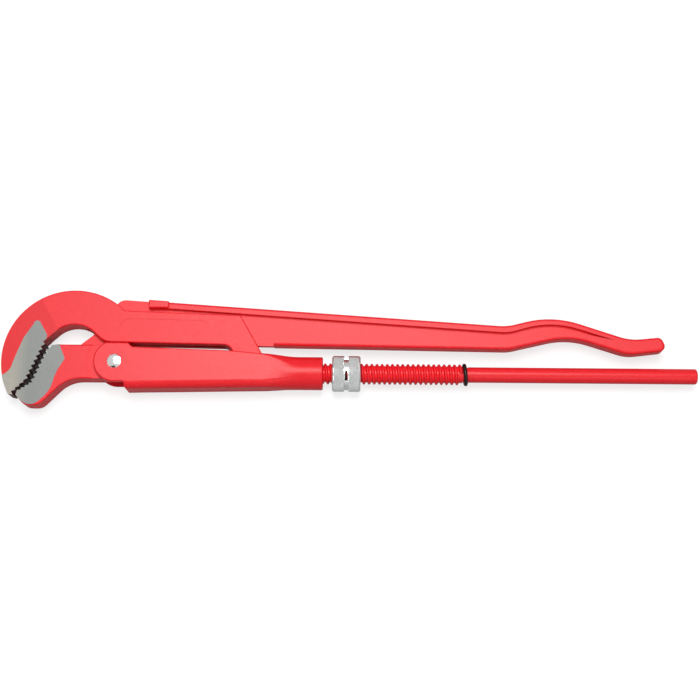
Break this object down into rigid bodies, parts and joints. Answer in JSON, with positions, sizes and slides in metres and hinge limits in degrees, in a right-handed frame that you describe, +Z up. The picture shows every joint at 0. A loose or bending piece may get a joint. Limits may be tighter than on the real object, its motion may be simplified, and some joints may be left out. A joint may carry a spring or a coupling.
{
  "type": "pipe wrench",
  "caption": "Swedish-pattern S-jaw pipe wrench: hooked jaw on a threaded bar, lower jaw on an I-section handle, knurled adjusting nut.",
  "frame": {"origin": "on the pivot axis, in the plane of the sleeve's lower flat side, on which the wrench lies", "axes": "+X along the threaded bar towards the handle ends, +Y towards the hook's back, +Z up along the pivot axis"},
  "size_m": [0.5375, 0.0902, 0.028],
  "materials": {
    "red_paint_jaw": "satin red powder coat, ground steel faces beside the teeth",
    "polished_steel": "polished rivet head",
    "red_paint_sleeve": "satin red powder coat",
    "red_paint_hook": "satin red powder coat, ground steel faces beside the teeth",
    "red_paint_bar": "satin red powder coat",
    "pin_steel": "plain",
    "black_ring": "satin",
    "nut_steel": "bright plated, diamond knurl",
    "spring_steel": "bright"
  },
  "bodies": {
    "jaw_leg_body": {"jaw_leg": "red_paint_jaw"},
    "sleeve_body": {"sleeve": "red_paint_sleeve", "pivot_rivet": "polished_steel"},
    "hook_body": {"hook_jaw": "red_paint_hook", "threaded_bar": "red_paint_bar", "bar_pin": "pin_steel", "stop_ring": "black_ring"},
    "nut_body": {"adjusting_nut": "nut_steel", "nut_spring": "spring_steel"}
  },
  "joints": [
    {"name": "pivot", "type": "hinge", "parent": "jaw_leg_body", "child": "sleeve_body", "pos_m": [0, 0, 0.014], "axis": [0, 0, -1], "range_deg": [0, 25]},
    {"name": "hook_slide", "type": "slide", "parent": "sleeve_body", "child": "hook_body", "axis": [-1, 0, 0], "range_m": [0, 0.072]},
    {"name": "nut_spin", "type": "hinge", "parent": "sleeve_body", "child": "nut_body", "pos_m": [0.1784, -0.0064, 0.014], "axis": [1, 0, 0], "range_deg": [0, 6480]}
  ],
  "couplings": [
    {"joint": "nut_spin", "follows": "hook_slide", "rad_per_m": 1570.8}
  ]
}
